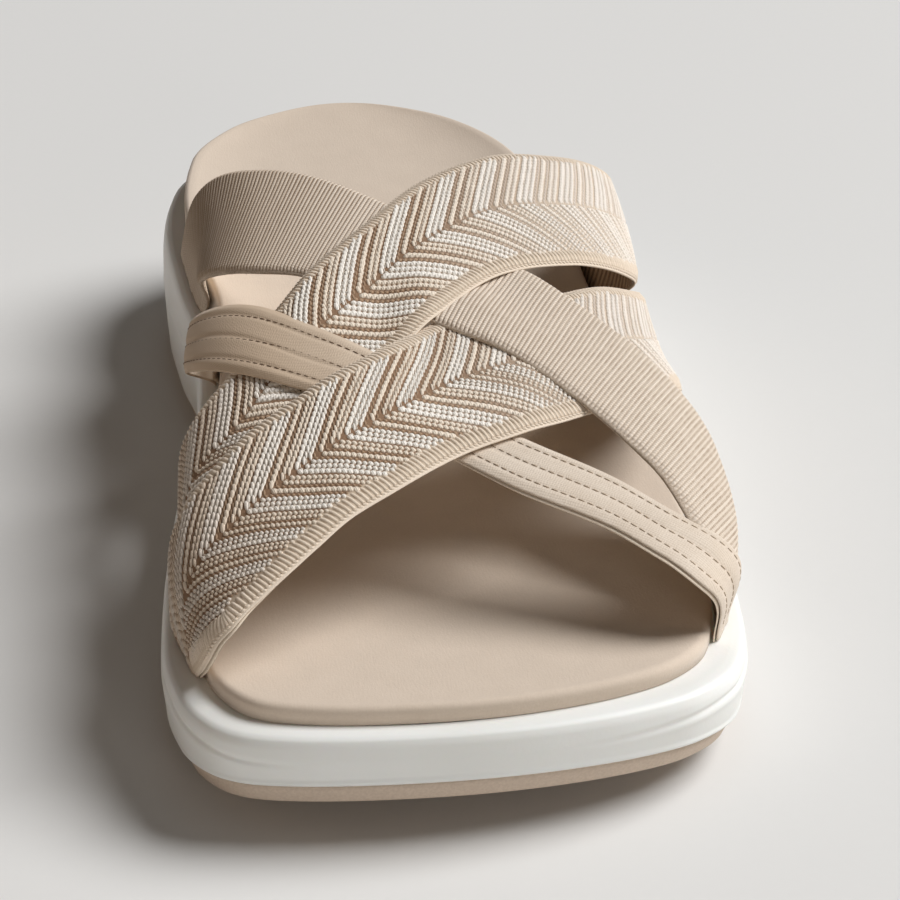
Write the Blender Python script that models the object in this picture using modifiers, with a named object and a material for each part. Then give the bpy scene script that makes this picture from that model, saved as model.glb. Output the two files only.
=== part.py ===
import bpy
import bmesh
import numpy as np

# Orthopedic sandal for the left foot, standing empty on its sole.
# Toe toward -Y, heel toward +Y, inner side of the foot toward -X, floor at Z = 0. Metres.

SOLE_LENGTH = 0.256
BALL_WIDTH = 0.104
STATIONS = 37
FIT = 0.0003

# Outsole
OUTSOLE_THICK = 0.0035
OUTSOLE_FOOT_INSET = 0.0024
OUTSOLE_TOP_INSET = 0.0016
TOE_SPRING = 0.008
SPRING_RUN = 0.075
WAIST_LIFT = 0.0012
WAIST_FRONT = 0.102
WAIST_REAR = 0.160
HEEL_ROLL = 0.0020
HEEL_ROLL_RUN = 0.014

# Footbed
TOE_LEDGE = 0.0046
SIDE_LEDGE = 0.006
HEEL_LEDGE = 0.0045
BED_COLUMNS = 12
CUP_RISE = 0.0055
CUP_START = 0.50
CUP_BACK = 0.80
CUP_POWER = 4
ARCH_RISE = 0.0040
ARCH_MIDDLE = 0.56
ARCH_SPAN = 0.20

# Straps
STRAP_THICK = 0.0022
STRAP_CLEAR = 0.0006
STRAP_FOOT = 0.0007
LIFT_AT_FOOT = 0.25
STRAP_STEPS = 34
STRAP_COLUMNS = 7
CROWN_POWER = 4.0
SIDE_POWER = 2.3
FLARE_HEIGHT = 0.6
ARCH_SAMPLES = 300

# Finishes
BEIGE_RUBBER = {"colour": (0.52, 0.42, 0.34), "roughness": 0.70}
WHITE_FOAM = {"colour": (0.86, 0.86, 0.85), "roughness": 0.55}
BEIGE_COVER = {"colour": (0.56, 0.45, 0.37), "roughness": 0.75}
BEIGE_WEAVE = {"colour": (0.60, 0.50, 0.40), "roughness": 0.85}

# Outline seen from above, one row per cross section from toe to heel.
# Inner and outer reach are shares of half the ball width.
PLAN = np.array([
    (0.000, -0.15, -0.15),
    (0.008, -0.60, 0.27),
    (0.020, -0.78, 0.50),
    (0.040, -0.88, 0.71),
    (0.080, -0.96, 0.88),
    (0.150, -1.00, 0.97),
    (0.230, -0.985, 1.00),
    (0.330, -0.94, 0.985),
    (0.430, -0.87, 0.955),
    (0.530, -0.80, 0.93),
    (0.600, -0.79, 0.91),
    (0.690, -0.85, 0.885),
    (0.790, -0.885, 0.84),
    (0.880, -0.83, 0.735),
    (0.950, -0.62, 0.51),
    (0.985, -0.35, 0.25),
    (1.000, -0.05, -0.05),
], dtype=[("along", float), ("inner", float), ("outer", float)])

# Heights from toe to heel: midsole rim, middle of the footbed, inside of the straps' crown,
# and how far the straps flare out over their feet on the inner and outer side.
PROFILE = np.array([
    (0.00, 0.0214, 0.0249, 0.0360, 0.0000, 0.0010),
    (0.05, 0.0199, 0.0234, 0.0374, 0.0000, 0.0015),
    (0.10, 0.0187, 0.0222, 0.0390, 0.0000, 0.0018),
    (0.20, 0.0173, 0.0211, 0.0445, 0.0005, 0.0048),
    (0.30, 0.0173, 0.0215, 0.0495, 0.0018, 0.0048),
    (0.40, 0.0185, 0.0230, 0.0540, 0.0037, 0.0024),
    (0.50, 0.0210, 0.0258, 0.0580, 0.0044, 0.0036),
    (0.60, 0.0242, 0.0292, 0.0610, 0.0032, 0.0064),
    (0.70, 0.0275, 0.0325, 0.0630, 0.0003, 0.0082),
    (0.85, 0.0310, 0.0352, 0.0640, 0.0000, 0.0090),
    (1.00, 0.0325, 0.0360, 0.0640, 0.0000, 0.0090),
], dtype=[("along", float), ("rim", float), ("bed", float), ("crown", float),
          ("flare_in", float), ("flare_out", float)])

# Midsole side wall from its bottom edge up to the rim
WALL = np.array([
    (0.0014, 0.00),
    (0.0006, 0.12),
    (0.0002, 0.35),
    (0.0000, 0.55),
    (0.0001, 0.76),
    (0.0005, 0.90),
    (0.0013, 0.97),
    (0.0027, 1.00),
], dtype=[("inset", float), ("rise", float)])

# Rounded edge of the footbed, measured in from its side and down from its top
BED_EDGE = np.array([
    (0.0000, 0.0024),
    (0.0005, 0.0012),
    (0.0015, 0.0004),
    (0.0030, 0.0000),
], dtype=[("inset", float), ("drop", float)])

# Straps: share of the way over the foot from the inner side to the outer side, distance of
# the front and rear edge from the toe, and how far each edge rides up over the strap below.
STRAP = [("share", float), ("front", float), ("rear", float), ("front_lift", float), ("rear_lift", float)]

REAR_KNIT = np.array([
    (0.00, 0.0450, 0.0850, 0.0000, 0.0000),
    (0.10, 0.0440, 0.0830, 0.0000, 0.0000),
    (0.20, 0.0500, 0.0870, 0.0000, 0.0000),
    (0.30, 0.0660, 0.1030, 0.0000, 0.0006),
    (0.36, 0.0730, 0.1140, 0.0000, 0.0014),
    (0.42, 0.0800, 0.1250, 0.0000, 0.0014),
    (0.50, 0.0910, 0.1410, 0.0018, 0.0014),
    (0.60, 0.1060, 0.1530, 0.0014, 0.0014),
    (0.70, 0.1142, 0.1600, 0.0008, 0.0008),
    (0.80, 0.1235, 0.1705, 0.0002, 0.0002),
    (0.90, 0.1415, 0.1875, 0.0000, 0.0000),
    (1.00, 0.1600, 0.2035, 0.0000, 0.0000),
], dtype=STRAP)

FRONT_KNIT = np.array([
    (0.00, 0.0270, 0.0535, 0.0014, 0.0015),
    (0.04, 0.0215, 0.0540, 0.0014, 0.0015),
    (0.08, 0.0190, 0.0545, 0.0014, 0.0015),
    (0.12, 0.0186, 0.0555, 0.0014, 0.0015),
    (0.18, 0.0211, 0.0590, 0.0014, 0.0016),
    (0.24, 0.0247, 0.0640, 0.0014, 0.0020),
    (0.30, 0.0298, 0.0690, 0.0016, 0.0022),
    (0.36, 0.0356, 0.0740, 0.0020, 0.0028),
    (0.42, 0.0412, 0.0810, 0.0020, 0.0022),
    (0.50, 0.0500, 0.0920, 0.0014, 0.0002),
    (0.58, 0.0560, 0.0980, 0.0012, 0.0000),
    (0.65, 0.0620, 0.1015, 0.0003, 0.0000),
    (0.74, 0.0705, 0.1108, 0.0000, 0.0000),
    (0.80, 0.0780, 0.1178, 0.0000, 0.0000),
    (0.90, 0.0980, 0.1390, 0.0000, 0.0000),
    (1.00, 0.1170, 0.1570, 0.0000, 0.0000),
], dtype=STRAP)

ELASTIC = np.array([
    (0.00, 0.1650, 0.1920, 0.0000, 0.0000),
    (0.10, 0.1495, 0.1800, 0.0000, 0.0000),
    (0.16, 0.1385, 0.1748, 0.0000, 0.0000),
    (0.21, 0.1297, 0.1705, 0.0000, 0.0000),
    (0.27, 0.1212, 0.1634, 0.0000, 0.0000),
    (0.33, 0.1150, 0.1560, 0.0000, 0.0000),
    (0.42, 0.1030, 0.1424, 0.0000, 0.0000),
    (0.50, 0.0905, 0.1300, 0.0010, 0.0000),
    (0.58, 0.0795, 0.1170, 0.0014, 0.0000),
    (0.65, 0.0667, 0.1070, 0.0014, 0.0010),
    (0.74, 0.0490, 0.0900, 0.0014, 0.0014),
    (0.82, 0.0358, 0.0765, 0.0008, 0.0008),
    (0.90, 0.0300, 0.0680, 0.0000, 0.0000),
    (1.00, 0.0300, 0.0640, 0.0000, 0.0000),
], dtype=STRAP)

NARROW = np.array([
    (0.00, 0.1366, 0.1545, 0.0000, 0.0000),
    (0.10, 0.1162, 0.1340, 0.0002, 0.0002),
    (0.18, 0.0975, 0.1190, 0.0006, 0.0008),
    (0.29, 0.0775, 0.1038, 0.0014, 0.0014),
    (0.36, 0.0680, 0.0910, 0.0014, 0.0014),
    (0.43, 0.0590, 0.0800, 0.0006, 0.0006),
    (0.50, 0.0500, 0.0680, 0.0000, 0.0000),
    (0.58, 0.0420, 0.0565, 0.0000, 0.0000),
    (0.71, 0.0335, 0.0455, 0.0000, 0.0000),
    (0.80, 0.0275, 0.0385, 0.0000, 0.0004),
    (0.88, 0.0240, 0.0360, 0.0004, 0.0010),
    (1.00, 0.0290, 0.0395, 0.0004, 0.0008),
], dtype=STRAP)


def smooth(known, values, at):
    """Slope-limited cubic through the rows of a table."""
    step = np.diff(values) / np.diff(known)
    before, after = step[:-1], step[1:]
    level = before * after <= 0
    inner = np.where(level, 0.0, 2 * before * after / np.where(level, 1.0, before + after))
    slope = np.concatenate([step[:1], inner, step[-1:]])
    row = np.clip(np.searchsorted(known, at) - 1, 0, len(known) - 2)
    width = known[row + 1] - known[row]
    s = (at - known[row]) / width
    rise = s * s * (3 - 2 * s)
    return (values[row] * (1 - rise) + values[row + 1] * rise
            + width * s * (1 - s) * (slope[row] * (1 - s) - slope[row + 1] * s))


def turn(along):
    return np.arccos(1 - 2 * np.clip(along, 0, 1))


def from_toe(y):
    return y + SOLE_LENGTH / 2


def plan(along, toe_in, side_in, heel_in):
    """Outline drawn in from toe, sides and heel: Y, inner X and outer X."""
    half = BALL_WIDTH / 2
    inner = half * smooth(turn(PLAN["along"]), PLAN["inner"], turn(along))
    outer = half * smooth(turn(PLAN["along"]), PLAN["outer"], turn(along))
    middle = (inner + outer) / 2
    keep = 1 - side_in / half
    y = -SOLE_LENGTH / 2 + toe_in + along * (SOLE_LENGTH - toe_in - heel_in)
    return y, middle + (inner - middle) * keep, middle + (outer - middle) * keep


def height(column, y):
    return smooth(turn(PROFILE["along"]), PROFILE[column], turn(from_toe(y) / SOLE_LENGTH))


def underside(y):
    d = from_toe(y)
    spring = TOE_SPRING * np.clip(1 - d / SPRING_RUN, 0, 1) ** 2
    waist = np.clip((d - WAIST_FRONT) / (WAIST_REAR - WAIST_FRONT), 0, 1)
    roll = np.clip(1 - (SOLE_LENGTH - d) / HEEL_ROLL_RUN, 0, 1)
    return spring + WAIST_LIFT * np.sin(np.pi * waist) ** 2 + HEEL_ROLL * roll ** 2


def sole_top(y):
    return underside(y) + OUTSOLE_THICK


def bed_top(x, y, inner, outer, along):
    """Footbed surface: level middle, cupped heel, rise under the arch of the foot."""
    across = (2 * x - inner - outer) / np.maximum(outer - inner, FIT)
    cup = CUP_RISE * np.clip((along - CUP_START) / (1 - CUP_START), 0, 1)
    back = np.clip((along - CUP_BACK) / (1 - CUP_BACK), 0, 1) ** 2
    rim = 1 - (1 - np.abs(across) ** CUP_POWER) * (1 - back)
    arch = np.clip(1 - ((along - ARCH_MIDDLE) / ARCH_SPAN) ** 2, 0, 1) ** 2
    support = ARCH_RISE * arch * np.clip(-across, 0, 1) ** 2
    return height("bed", y) + cup * rim + support


class Loft:
    """Closed body built from outline rings, with a ladder of faces over each end."""

    def __init__(self):
        self.points = []
        self.faces = []

    def add(self, x, y, z):
        start = len(self.points)
        self.points += [tuple(p) for p in np.stack(np.broadcast_arrays(x, y, z), -1)]
        return list(range(start, len(self.points)))

    def ring(self, y, inner, outer, z):
        """Inner side from toe to heel and back along the outer side."""
        there = self.add(inner, y, z[0])
        back = self.add(outer[1:-1], y[1:-1], z[1][1:-1])
        return there, [there[0]] + back + [there[-1]]

    def skirt(self, low, high):
        for side in (0, 1):
            self.bridge(list(zip(low[side], high[side])))

    def bridge(self, rows):
        for near, far in zip(rows, rows[1:]):
            for a, b, c, d in zip(near, near[1:], far[1:], far):
                corner = list(dict.fromkeys((a, b, c, d)))
                if len(corner) > 2:
                    self.faces.append(corner)

    def cap(self, ring):
        self.bridge(list(zip(*ring)))

    def object(self, name):
        item = place(name, self.points, self.faces, pieces)
        shape = bmesh.new()
        shape.from_mesh(item.data)
        bmesh.ops.recalc_face_normals(shape, faces=shape.faces)
        shape.to_mesh(item.data)
        shape.free()
        return item


def place(name, points, faces, group):
    mesh = bpy.data.meshes.new(name)
    mesh.from_pydata(points, [], faces)
    mesh.shade_smooth()
    item = bpy.data.objects.new(name, mesh)
    group.objects.link(item)
    return item


def paint(item, finish):
    material = bpy.data.materials.new(item.name)
    material.use_nodes = True
    shader = material.node_tree.nodes["Principled BSDF"]
    shader.inputs["Base Color"].default_value = (*finish["colour"], 1)
    shader.inputs["Roughness"].default_value = finish["roughness"]
    shader.inputs["Metallic"].default_value = 0
    item.data.materials.append(material)


def build_outsole(along):
    body = Loft()
    rings = []
    for inset, top in ((OUTSOLE_FOOT_INSET, False), (OUTSOLE_TOP_INSET, True)):
        y, inner, outer = plan(along, inset, inset, inset)
        z = sole_top(y) if top else underside(y)
        rings.append(body.ring(y, inner, outer, (z, z)))
    body.skirt(*rings)
    body.cap(rings[0])
    body.cap(rings[1])
    return body.object("outsole")


def build_midsole(along):
    body = Loft()
    rings = []
    for row in WALL:
        y, inner, outer = plan(along, row["inset"], row["inset"], row["inset"])
        foot = sole_top(y) + FIT
        z = foot + (height("rim", y) - foot) * row["rise"]
        rings.append(body.ring(y, inner, outer, (z, z)))
    for low, high in zip(rings, rings[1:]):
        body.skirt(low, high)
    body.cap(rings[0])
    body.cap(rings[-1])
    return body.object("midsole")


def build_footbed(along):
    body = Loft()
    y, inner, outer = plan(along, TOE_LEDGE, SIDE_LEDGE, HEEL_LEDGE)
    z = height("rim", y) + FIT
    rings = [body.ring(y, inner, outer, (z, z))]
    for row in BED_EDGE:
        ledges = [ledge + row["inset"] for ledge in (TOE_LEDGE, SIDE_LEDGE, HEEL_LEDGE)]
        y, inner, outer = plan(along, *ledges)
        top = [bed_top(x, y, inner, outer, along) - row["drop"] for x in (inner, outer)]
        rings.append(body.ring(y, inner, outer, top))
    for low, high in zip(rings, rings[1:]):
        body.skirt(low, high)
    body.cap(rings[0])
    left, right = rings[-1]
    rows = [[left[0]] * (BED_COLUMNS + 1)]
    for i in range(1, len(along) - 1):
        x = np.linspace(inner[i], outer[i], BED_COLUMNS + 1)[1:-1]
        z = bed_top(x, y[i], inner[i], outer[i], along[i])
        rows.append([left[i]] + body.add(x, y[i], z) + [right[i]])
    rows.append([left[-1]] * (BED_COLUMNS + 1))
    body.bridge(rows)
    return body.object("footbed")


def arch(y, lift):
    """Section over the foot at Y, from the inner foot of a strap to its outer foot."""
    bed_length = SOLE_LENGTH - TOE_LEDGE - HEEL_LEDGE
    along = (from_toe(y) - TOE_LEDGE) / bed_length
    _, inner, outer = plan(along, TOE_LEDGE, SIDE_LEDGE, HEEL_LEDGE)
    middle = (inner + outer) / 2
    reach = (outer - inner) / 2 + STRAP_CLEAR + lift
    foot = height("rim", y) + STRAP_FOOT + LIFT_AT_FOOT * lift
    rise = 1 - (1 - np.linspace(0, 1, ARCH_SAMPLES)) ** 3
    swell = np.clip(rise / FLARE_HEIGHT, 0, 1)
    swell = swell * swell * (3 - 2 * swell)
    taper = np.clip(1 - rise ** CROWN_POWER, 0, 1) ** (1 / SIDE_POWER)
    z = foot + (height("crown", y) + lift - foot) * rise
    left = middle - (reach + height("flare_in", y) * swell) * taper
    right = middle + (reach + height("flare_out", y) * swell) * taper
    return np.concatenate([left, right[-2::-1]]), np.concatenate([z, z[-2::-1]])


def over_foot(share, y, lift):
    x, z = arch(y, lift)
    run = np.concatenate([[0], np.cumsum(np.hypot(np.diff(x), np.diff(z)))])
    at = share * run[-1]
    return np.interp(at, run, x), y, np.interp(at, run, z)


def build_strap(name, table, group):
    shares = np.linspace(0, 1, STRAP_STEPS)
    edge = {column: smooth(table["share"], table[column], shares) for column in table.dtype.names}
    points = []
    for i, share in enumerate(shares):
        for across in np.linspace(0, 1, STRAP_COLUMNS):
            y = edge["front"][i] * (1 - across) + edge["rear"][i] * across - SOLE_LENGTH / 2
            lift = edge["front_lift"][i] * (1 - across) + edge["rear_lift"][i] * across
            points.append(over_foot(share, y, lift))
    faces = []
    for i in range(STRAP_STEPS - 1):
        for j in range(STRAP_COLUMNS - 1):
            a = i * STRAP_COLUMNS + j
            faces.append((a, a + STRAP_COLUMNS, a + STRAP_COLUMNS + 1, a + 1))
    strap = place(name, points, faces, group)
    wall = strap.modifiers.new("wall", "SOLIDIFY")
    wall.thickness = STRAP_THICK
    wall.offset = 1
    return strap


def build_upper():
    upper = build_strap("upper", REAR_KNIT, pieces)
    crossing = {"elastic_strap": ELASTIC, "narrow_strap": NARROW, "front_knit_strap": FRONT_KNIT}
    for name, table in crossing.items():
        strap = build_strap(name, table, helpers)
        strap.hide_render = True
        strap.display_type = "WIRE"
        join = upper.modifiers.new(name, "BOOLEAN")
        join.operation = "UNION"
        join.solver = "EXACT"
        join.object = strap
    return upper


for item in list(bpy.data.objects):
    bpy.data.objects.remove(item)

pieces = bpy.data.collections.new("orthopedic_sandal")
helpers = bpy.data.collections.new("helpers")
for group in (pieces, helpers):
    bpy.context.scene.collection.children.link(group)

stations = (1 - np.cos(np.linspace(0, np.pi, STATIONS))) / 2
paint(build_outsole(stations), BEIGE_RUBBER)
paint(build_midsole(stations), WHITE_FOAM)
paint(build_footbed(stations), BEIGE_COVER)
paint(build_upper(), BEIGE_WEAVE)
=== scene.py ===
import bpy
import bmesh
import math
import numpy as np
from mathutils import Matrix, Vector


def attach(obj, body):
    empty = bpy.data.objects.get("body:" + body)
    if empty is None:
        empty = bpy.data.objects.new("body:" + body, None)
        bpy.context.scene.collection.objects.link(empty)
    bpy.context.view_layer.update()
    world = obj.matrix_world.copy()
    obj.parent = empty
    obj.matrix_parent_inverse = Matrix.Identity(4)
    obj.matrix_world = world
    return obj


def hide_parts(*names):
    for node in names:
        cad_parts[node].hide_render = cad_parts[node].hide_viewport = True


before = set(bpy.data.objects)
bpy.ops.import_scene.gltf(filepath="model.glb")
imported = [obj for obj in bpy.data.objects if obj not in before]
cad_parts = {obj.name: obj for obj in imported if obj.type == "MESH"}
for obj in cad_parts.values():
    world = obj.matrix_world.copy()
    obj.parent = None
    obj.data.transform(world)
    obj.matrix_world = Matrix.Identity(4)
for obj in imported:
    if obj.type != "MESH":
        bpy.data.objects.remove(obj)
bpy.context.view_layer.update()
mm = 0.001
print("frame loaded:", ", ".join(sorted(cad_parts)))


# Form of the sandal: toe toward -Y, inner side toward -X, floor at Z = 0

def table(columns, rows):
    return {name: np.array(column, float) for name, column in zip(columns.split(), zip(*rows))}


sandal = {
    "length": 0.256,
    "ballWidth": 0.104,
    "toeLedge": 0.0046,  # midsole rim left bare round the footbed
    "sideLedge": 0.006,
    "heelLedge": 0.0045,
    "outsoleThick": 0.0035,
    "toeSpring": 0.008,
    "springRun": 0.075,
    "waistLift": 0.0012,
    "waistFront": 0.102,
    "waistRear": 0.160,
    "heelRoll": 0.0020,
    "heelRollRun": 0.014,
    "stations": 181,
}

# outline from above, inner and outer reach as shares of half the ball width
planRows = table("along inner outer", [
    (0.000, -0.15, -0.15),
    (0.008, -0.60, 0.27),
    (0.020, -0.78, 0.50),
    (0.040, -0.88, 0.71),
    (0.080, -0.96, 0.88),
    (0.150, -1.00, 0.97),
    (0.230, -0.985, 1.00),
    (0.330, -0.94, 0.985),
    (0.430, -0.87, 0.955),
    (0.530, -0.80, 0.93),
    (0.600, -0.79, 0.91),
    (0.690, -0.85, 0.885),
    (0.790, -0.885, 0.84),
    (0.880, -0.83, 0.735),
    (0.950, -0.62, 0.51),
    (0.985, -0.35, 0.25),
    (1.000, -0.05, -0.05),
])

# heights of rim, footbed and strap crown, and the straps' flare over their feet
profileRows = table("along rim bed crown flareIn flareOut", [
    (0.00, 0.0214, 0.0249, 0.0360, 0.0000, 0.0010),
    (0.05, 0.0199, 0.0234, 0.0374, 0.0000, 0.0015),
    (0.10, 0.0187, 0.0222, 0.0390, 0.0000, 0.0018),
    (0.20, 0.0173, 0.0211, 0.0445, 0.0005, 0.0048),
    (0.30, 0.0173, 0.0215, 0.0495, 0.0018, 0.0048),
    (0.40, 0.0185, 0.0230, 0.0540, 0.0037, 0.0024),
    (0.50, 0.0210, 0.0258, 0.0580, 0.0044, 0.0036),
    (0.60, 0.0242, 0.0292, 0.0610, 0.0032, 0.0064),
    (0.70, 0.0275, 0.0325, 0.0630, 0.0003, 0.0082),
    (0.85, 0.0310, 0.0352, 0.0640, 0.0000, 0.0090),
    (1.00, 0.0325, 0.0360, 0.0640, 0.0000, 0.0090),
])


def smooth(known, values, at):
    step = np.diff(values) / np.diff(known)
    before, after = step[:-1], step[1:]
    level = before * after <= 0
    inner = np.where(level, 0.0, 2 * before * after / np.where(level, 1.0, before + after))
    slope = np.concatenate([step[:1], inner, step[-1:]])
    row = np.clip(np.searchsorted(known, at) - 1, 0, len(known) - 2)
    width = known[row + 1] - known[row]
    s = (at - known[row]) / width
    rise = s * s * (3 - 2 * s)
    return (values[row] * (1 - rise) + values[row + 1] * rise
            + width * s * (1 - s) * (slope[row] * (1 - s) - slope[row + 1] * s))


def ease(low, high, value):
    s = np.clip((value - low) / (high - low), 0, 1)
    return s * s * (3 - 2 * s)


def hump(middle, half, value):
    return np.exp(-((value - middle) / half) ** 2)


def turn(along):
    return np.arccos(1 - 2 * np.clip(along, 0, 1))


def runAlong(a, b):  # length of a path up to each of its points
    return np.concatenate([[0], np.cumsum(np.hypot(np.diff(a), np.diff(b)))])


def fromToe(y):
    return y + sandal["length"] / 2


def plan(along, toeIn, sideIn, heelIn):
    half = sandal["ballWidth"] / 2
    inner = half * smooth(turn(planRows["along"]), planRows["inner"], turn(along))
    outer = half * smooth(turn(planRows["along"]), planRows["outer"], turn(along))
    middle = (inner + outer) / 2
    keep = 1 - sideIn / half
    y = -sandal["length"] / 2 + toeIn + along * (sandal["length"] - toeIn - heelIn)
    return y, middle + (inner - middle) * keep, middle + (outer - middle) * keep


def height(column, y):
    return smooth(turn(profileRows["along"]), profileRows[column], turn(fromToe(y) / sandal["length"]))


def underside(y):
    d = fromToe(y)
    spring = sandal["toeSpring"] * np.clip(1 - d / sandal["springRun"], 0, 1) ** 2
    waist = np.clip((d - sandal["waistFront"]) / (sandal["waistRear"] - sandal["waistFront"]), 0, 1)
    roll = np.clip(1 - (sandal["length"] - d) / sandal["heelRollRun"], 0, 1)
    return spring + sandal["waistLift"] * np.sin(np.pi * waist) ** 2 + sandal["heelRoll"] * roll ** 2


stationAlong = (1 - np.cos(np.linspace(0, np.pi, sandal["stations"]))) / 2
ledges = np.array([sandal["toeLedge"], sandal["sideLedge"], sandal["heelLedge"]])


# Meshes

def addObject(name, mesh):
    item = bpy.data.objects.new(name, mesh)
    bpy.context.scene.collection.objects.link(item)
    return item


def makeObject(name, points, faces):
    mesh = bpy.data.meshes.new(name)
    mesh.from_pydata(np.asarray(points).reshape(-1, 3).tolist(), [], faces)
    mesh.update()
    mesh.shade_smooth()
    return addObject(name, mesh)


def setAttributes(mesh, values):
    for label, column in values.items():
        kind, key = ("FLOAT_VECTOR", "vector") if column.ndim == 2 else ("FLOAT", "value")
        made = mesh.attributes.new(label, kind, "POINT")
        made.data.foreach_set(key, column.astype(np.float32).ravel())


def gridFaces(rows, columns):  # rows of closed loops
    i, j = np.meshgrid(np.arange(rows - 1), np.arange(columns), indexing="ij")
    k = (j + 1) % columns
    corners = [i * columns + j, i * columns + k, (i + 1) * columns + k, (i + 1) * columns + j]
    return np.stack(corners, -1).reshape(-1, 4).tolist()


def cleanUp(item):  # closes tips and seams, turns faces outward
    shape = bmesh.new()
    shape.from_mesh(item.data)
    bmesh.ops.remove_doubles(shape, verts=shape.verts, dist=0.000002)
    bmesh.ops.dissolve_degenerate(shape, edges=shape.edges, dist=0.000001)
    bmesh.ops.recalc_face_normals(shape, faces=shape.faces)
    shape.to_mesh(item.data)
    shape.free()
    item.data.shade_smooth()
    return item


def soleBody(name, rings, topColumns, topHeight, floorColumns, floorHeight):
    # every station is one loop: up the inner wall, over the top, down the outer wall, back under
    inside = [np.stack([ring["inner"], ring["y"], ring["zInner"]], -1) for ring in rings]
    outside = [np.stack([ring["outer"], ring["y"], ring["zOuter"]], -1) for ring in rings]

    def across(ring, columns, heightAt):
        found = []
        for share in np.linspace(0, 1, columns + 2)[1:-1]:
            x = ring["inner"] * (1 - share) + ring["outer"] * share
            found.append(np.stack([x, ring["y"], heightAt(x, ring)], -1))
        return found

    over = across(rings[-1], topColumns, topHeight)
    under = across(rings[0], floorColumns, floorHeight)
    points = np.stack(inside + over + outside[::-1] + under[::-1], 1)
    return cleanUp(makeObject(name, points, gridFaces(points.shape[0], points.shape[1])))


def level(x, ring):  # straight across
    return ring["zInner"]


# Shader sums: a Wire is a socket that can be added, multiplied and so on

class Wire:
    def __init__(self, paint, socket):
        self.paint = paint
        self.socket = socket

    def calc(self, operation, *values):
        return self.paint.node("ShaderNodeMath", {"operation": operation}, dict(enumerate(values)))

    def __add__(self, other):
        return self.calc("ADD", self, other)

    def __radd__(self, other):
        return self.calc("ADD", other, self)

    def __sub__(self, other):
        return self.calc("SUBTRACT", self, other)

    def __rsub__(self, other):
        return self.calc("SUBTRACT", other, self)

    def __mul__(self, other):
        return self.calc("MULTIPLY", self, other)

    def __rmul__(self, other):
        return self.calc("MULTIPLY", other, self)

    def sine(self):
        return self.calc("SINE", self)

    def between(self, low, high):  # 0 below low, 1 above high
        feeds = {"Value": self, "From Min": low, "From Max": high}
        return self.paint.node("ShaderNodeMapRange", {"interpolation_type": "SMOOTHSTEP"}, feeds)


surfaceSockets = {
    "colour": "Base Color",
    "roughness": "Roughness",
    "normal": "Normal",
    "sheen": "Sheen Weight",
    "sheenRoughness": "Sheen Roughness",
    "specular": "Specular IOR Level",
    "subsurface": "Subsurface Weight",
}


class Paint:
    def __init__(self, name):
        self.material = bpy.data.materials.new(name)
        self.material.use_nodes = True
        self.tree = self.material.node_tree
        self.shader = self.tree.nodes["Principled BSDF"]

    def feed(self, socket, value):
        if isinstance(value, Wire):
            self.tree.links.new(value.socket, socket)
        elif isinstance(value, (tuple, list)) and len(value) == 3 and len(socket.default_value) == 4:
            socket.default_value = (*value, 1)
        else:
            socket.default_value = value

    def node(self, kind, settings, sockets, out=0):
        made = self.tree.nodes.new(kind)
        for name, value in settings.items():
            setattr(made, name, value)
        for key, value in sockets.items():
            self.feed(made.inputs[key], value)
        return Wire(self, made.outputs[out])

    def ramp(self, value, colours):  # one flat step per colour
        wire = self.node("ShaderNodeValToRGB", {}, {"Fac": value})
        steps = wire.socket.node.color_ramp
        steps.interpolation = "CONSTANT"
        while len(steps.elements) < len(colours):
            steps.elements.new(1.0)
        for k, colour in enumerate(colours):
            steps.elements[k].position = k / len(colours)
            steps.elements[k].color = (*colour, 1)
        return wire

    def place(self):
        return self.node("ShaderNodeTexCoord", {}, {}, "Object")

    def attribute(self, name):
        return self.node("ShaderNodeAttribute", {"attribute_name": name}, {}, "Fac")

    def local(self, name, axis):  # one part of a vector attribute
        vector = self.node("ShaderNodeAttribute", {"attribute_name": name}, {}, "Vector")
        return self.node("ShaderNodeSeparateXYZ", {}, {0: vector}, axis)

    def noise(self, size, detail=2.0, stretch=(1, 1, 1)):
        scaled = self.node("ShaderNodeMapping", {}, {"Vector": self.place(), "Scale": stretch})
        feeds = {"Vector": scaled, "Scale": 1 / size, "Detail": detail}
        return self.node("ShaderNodeTexNoise", {}, feeds, "Fac")

    def blend(self, share, first, second):
        return self.node("ShaderNodeMix", {"data_type": "RGBA"}, {0: share, 6: first, 7: second}, 2)

    def bump(self, heightWire, depth, strength=1.0):
        feeds = {"Height": heightWire, "Distance": depth, "Strength": strength}
        return self.node("ShaderNodeBump", {}, feeds)

    def surface(self, **values):
        for name, value in values.items():
            self.feed(self.shader.inputs[surfaceSockets[name]], value)
        return self.material


def srgb(red, green, blue):  # screen colour to the shader's own values
    return tuple(((c / 255 + 0.055) / 1.055) ** 2.4 for c in (red, green, blue))


def foamFinish():
    paint = Paint("white_foam")
    grain = paint.noise(0.0007, 3)
    cloud = paint.noise(0.03, 2)
    colour = paint.blend(cloud.between(0.3, 0.7), srgb(234, 233, 229), srgb(239, 238, 235))
    normal = paint.bump(grain, 0.00004, 0.5)
    return paint.surface(colour=colour, roughness=0.42 + 0.12 * grain, normal=normal, subsurface=0.05)


def rubberFinish():
    paint = Paint("beige_rubber")
    grain = paint.noise(0.0005, 4)
    colour = paint.blend(grain.between(0.25, 0.75), srgb(196, 177, 159), srgb(208, 190, 172))
    normal = paint.bump(grain, 0.00006, 0.6)
    return paint.surface(colour=colour, roughness=0.55 + 0.15 * grain, normal=normal)


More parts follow.
